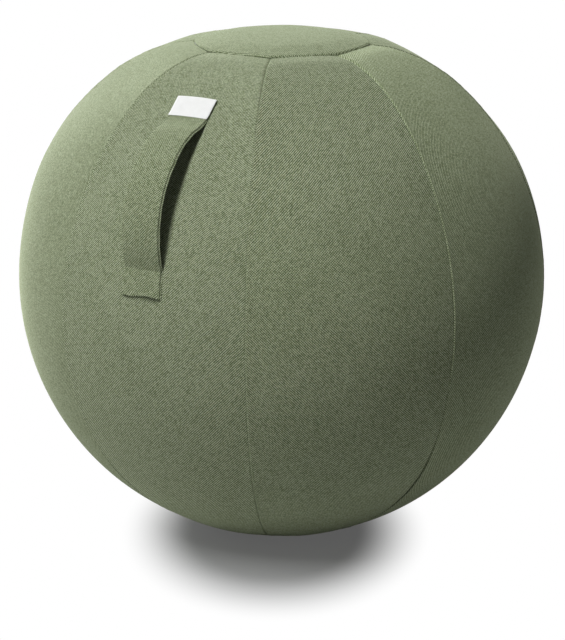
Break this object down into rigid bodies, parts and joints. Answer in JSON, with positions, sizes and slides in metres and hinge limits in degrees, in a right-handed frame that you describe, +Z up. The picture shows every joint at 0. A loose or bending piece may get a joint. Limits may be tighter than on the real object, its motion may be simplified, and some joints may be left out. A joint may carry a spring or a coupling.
{
  "type": "sitting ball",
  "caption": "Office sitting ball: an inflated inner ball in a sewn cloth cover of gores with a top cap, a base panel, a carry strap loop and a zip in the base seam.",
  "frame": {"origin": "middle of the flat patch that the ball rests on, on its upright axis", "axes": "+Z up, the carry strap faces -Y, the zip is at the rear, +Y"},
  "size_m": [0.65, 0.65, 0.6146],
  "materials": {
    "cover_cloth": "woven melange",
    "strap_webbing": "woven",
    "tag_cloth": "woven satin",
    "inner_ball": "matte",
    "valve": "satin",
    "zip_tape": "woven",
    "zip_teeth": "satin",
    "zip_metal": "satin"
  },
  "bodies": {
    "ball": {"gore_panel_1": "cover_cloth", "gore_panel_2": "cover_cloth", "gore_panel_3": "cover_cloth", "gore_panel_4": "cover_cloth", "gore_panel_5": "cover_cloth", "gore_panel_6": "cover_cloth", "gore_panel_7": "cover_cloth", "gore_panel_8": "cover_cloth", "top_cap": "cover_cloth", "base_panel": "cover_cloth", "handle_upper_end": "strap_webbing", "handle_lower_end": "strap_webbing", "handle_tag": "tag_cloth", "inner_ball": "inner_ball", "valve_seat": "valve", "zip_tape_upper": "zip_tape", "zip_tape_lower": "zip_tape", "zip_teeth_upper": "zip_teeth", "zip_teeth_lower": "zip_teeth", "zip_stops": "zip_metal"},
    "handle": {"handle_loop": "strap_webbing"},
    "zip_slider": {"zip_slider": "zip_metal"},
    "zip_pull": {"zip_pull": "zip_metal"},
    "valve_plug": {"valve_plug": "valve"}
  },
  "joints": [
    {"name": "handle_swing", "type": "hinge", "parent": "ball", "child": "handle", "pos_m": [0, -0.26027, 0.48066], "axis": [0, 0.5408, 0.8411], "range_deg": [-22, 22], "stiffness_Nm_per_rad": 0.05},
    {"name": "zip_run", "type": "hinge", "parent": "ball", "child": "zip_slider", "pos_m": [0, 0, 0], "axis": [0, 0, 1], "range_deg": [0, 125]},
    {"name": "zip_pull_flip", "type": "hinge", "parent": "zip_slider", "child": "zip_pull", "pos_m": [0.10111, 0.0522, 0.00733], "axis": [-0.8328, -0.43, -0.3486], "range_deg": [-20, 140]},
    {"name": "valve_plug_pull", "type": "slide", "parent": "ball", "child": "valve_plug", "axis": [0, 0.7071, -0.7071], "range_m": [0, 0.006]}
  ]
}
